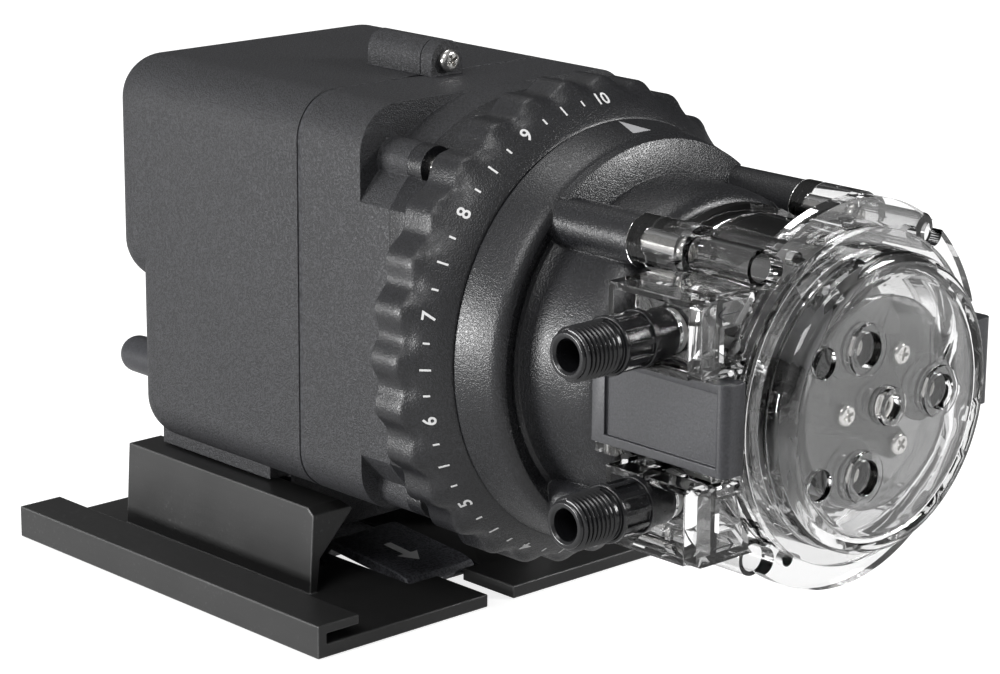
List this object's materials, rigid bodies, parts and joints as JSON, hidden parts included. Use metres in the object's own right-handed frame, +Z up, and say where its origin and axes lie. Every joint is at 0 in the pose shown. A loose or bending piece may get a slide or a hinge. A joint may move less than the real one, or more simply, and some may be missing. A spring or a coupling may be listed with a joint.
{
  "type": "peristaltic metering pump",
  "caption": "Motor-driven peristaltic metering pump with a clear roller head, scalloped feed dial and two side ports, on a dovetail wall bracket.",
  "frame": {"origin": "middle of the bracket's underside, at the centre of its four screw holes", "axes": "+Z up from the bracket, the pump's axis along Y with the clear head toward -Y, the two ports toward -X"},
  "size_m": [0.1513, 0.2725, 0.1554],
  "materials": {
    "housing_black": "fine textured moulding",
    "satin_black": "satin moulding",
    "bracket_black": "glossy extrusion with scuffed edges",
    "seal_rubber": "soft black rubber",
    "bright_steel": "bright",
    "zinc_steel": "zinc plated",
    "iron_core": "stacked sheet edges",
    "copper_wire": "varnished copper winding",
    "bronze": "sintered",
    "gear_brass": "machined",
    "clear_plastic": "clear polished moulding",
    "smoked_clear": "clear moulding",
    "white_plastic": "smooth",
    "tube_rubber": "soft translucent tube"
  },
  "bodies": {
    "bracket": {"mounting_bracket": "bracket_black"},
    "tongue": {"bracket_tongue": "bracket_black"},
    "pump": {"dovetail_foot": "housing_black", "foot_screws": "zinc_steel", "motor_housing": "housing_black", "housing_seal": "seal_rubber", "gear_case": "housing_black", "gear_cover": "housing_black", "case_screws": "bright_steel", "cord_gland": "seal_rubber", "stator_core": "iron_core", "stator_coil": "copper_wire", "motor_end_frame": "zinc_steel", "motor_bushes": "bronze", "gear_plate": "zinc_steel", "plate_screws": "bright_steel", "gear_axle": "bright_steel", "main_bearing": "bright_steel", "shaft_bush": "bronze", "index_plate": "housing_black", "cover_body": "housing_black", "head_screws": "bright_steel", "tube_housing": "clear_plastic", "front_cover": "clear_plastic", "pump_tube": "tube_rubber", "tube_ferrules": "white_plastic", "upper_fitting": "satin_black", "lower_fitting": "satin_black", "fitting_seals": "seal_rubber", "latch_pins": "bright_steel"},
    "rotor": {"rotor": "zinc_steel", "motor_shaft": "bright_steel", "cooling_fan": "satin_black"},
    "idler": {"first_gear": "gear_brass"},
    "drive": {"main_gear": "zinc_steel", "main_shaft": "bright_steel", "pin_carrier": "gear_brass", "index_pins": "bright_steel", "pin_spring": "bright_steel", "roller_carrier": "smoked_clear", "carrier_plate": "smoked_clear", "carrier_screws": "bright_steel", "roller_pins": "bright_steel"},
    "roller_1": {"roller_a": "white_plastic"},
    "roller_2": {"roller_b": "white_plastic"},
    "roller_3": {"roller_c": "white_plastic"},
    "dial": {"feed_dial": "satin_black"},
    "lifter": {"feed_lifter": "zinc_steel"},
    "left_latch": {"latch_left": "satin_black"},
    "right_latch": {"latch_right": "satin_black"}
  },
  "joints": [
    {"name": "pump_slide", "type": "slide", "parent": "bracket", "child": "pump", "axis": [0, -1, 0], "range_m": [0, 0.095]},
    {"name": "tongue_press", "type": "hinge", "parent": "bracket", "child": "tongue", "pos_m": [0, 0.0242, 0.0021], "axis": [1, 0, 0], "range_deg": [-1.5, 0.7], "stiffness_Nm_per_rad": 8},
    {"name": "rotor_spin", "type": "hinge", "parent": "pump", "child": "rotor", "pos_m": [0, 0, 0.0958], "axis": [0, 1, 0], "continuous": true},
    {"name": "idler_spin", "type": "hinge", "parent": "pump", "child": "idler", "pos_m": [0, 0, 0.1158], "axis": [0, 1, 0], "continuous": true},
    {"name": "drive_spin", "type": "hinge", "parent": "pump", "child": "drive", "pos_m": [0, 0, 0.0858], "axis": [0, 1, 0], "continuous": true},
    {"name": "dial_turn", "type": "hinge", "parent": "pump", "child": "dial", "pos_m": [0, -0.095, 0.0858], "axis": [0, 1, 0], "range_deg": [0, 247]},
    {"name": "lifter_slide", "type": "slide", "parent": "pump", "child": "lifter", "axis": [0, -1, 0], "range_m": [0, 0.003]},
    {"name": "left_latch_swing", "type": "hinge", "parent": "pump", "child": "left_latch", "pos_m": [-0.0463, -0.153, 0.0858], "axis": [0, 0, -1], "range_deg": [0, 35]},
    {"name": "right_latch_swing", "type": "hinge", "parent": "pump", "child": "right_latch", "pos_m": [0.0463, -0.153, 0.0858], "axis": [0, 0, 1], "range_deg": [0, 35]},
    {"name": "roller_1_spin", "type": "hinge", "parent": "drive", "child": "roller_1", "pos_m": [0.0187, -0.178, 0.08613], "axis": [0, 1, 0], "continuous": true},
    {"name": "roller_2_spin", "type": "hinge", "parent": "drive", "child": "roller_2", "pos_m": [-0.00963, -0.178, 0.10183], "axis": [0, 1, 0], "continuous": true},
    {"name": "roller_3_spin", "type": "hinge", "parent": "drive", "child": "roller_3", "pos_m": [-0.00907, -0.178, 0.06945], "axis": [0, 1, 0], "continuous": true}
  ],
  "couplings": [
    {"joint": "idler_spin", "follows": "rotor_spin", "ratio": -0.25},
    {"joint": "drive_spin", "follows": "rotor_spin", "ratio": 0.0625},
    {"joint": "lifter_slide", "follows": "dial_turn", "m_per_rad": 0.0006945},
    {"joint": "roller_1_spin", "follows": "rotor_spin", "ratio": -0.2163},
    {"joint": "roller_2_spin", "follows": "rotor_spin", "ratio": -0.2163},
    {"joint": "roller_3_spin", "follows": "rotor_spin", "ratio": -0.2163}
  ]
}
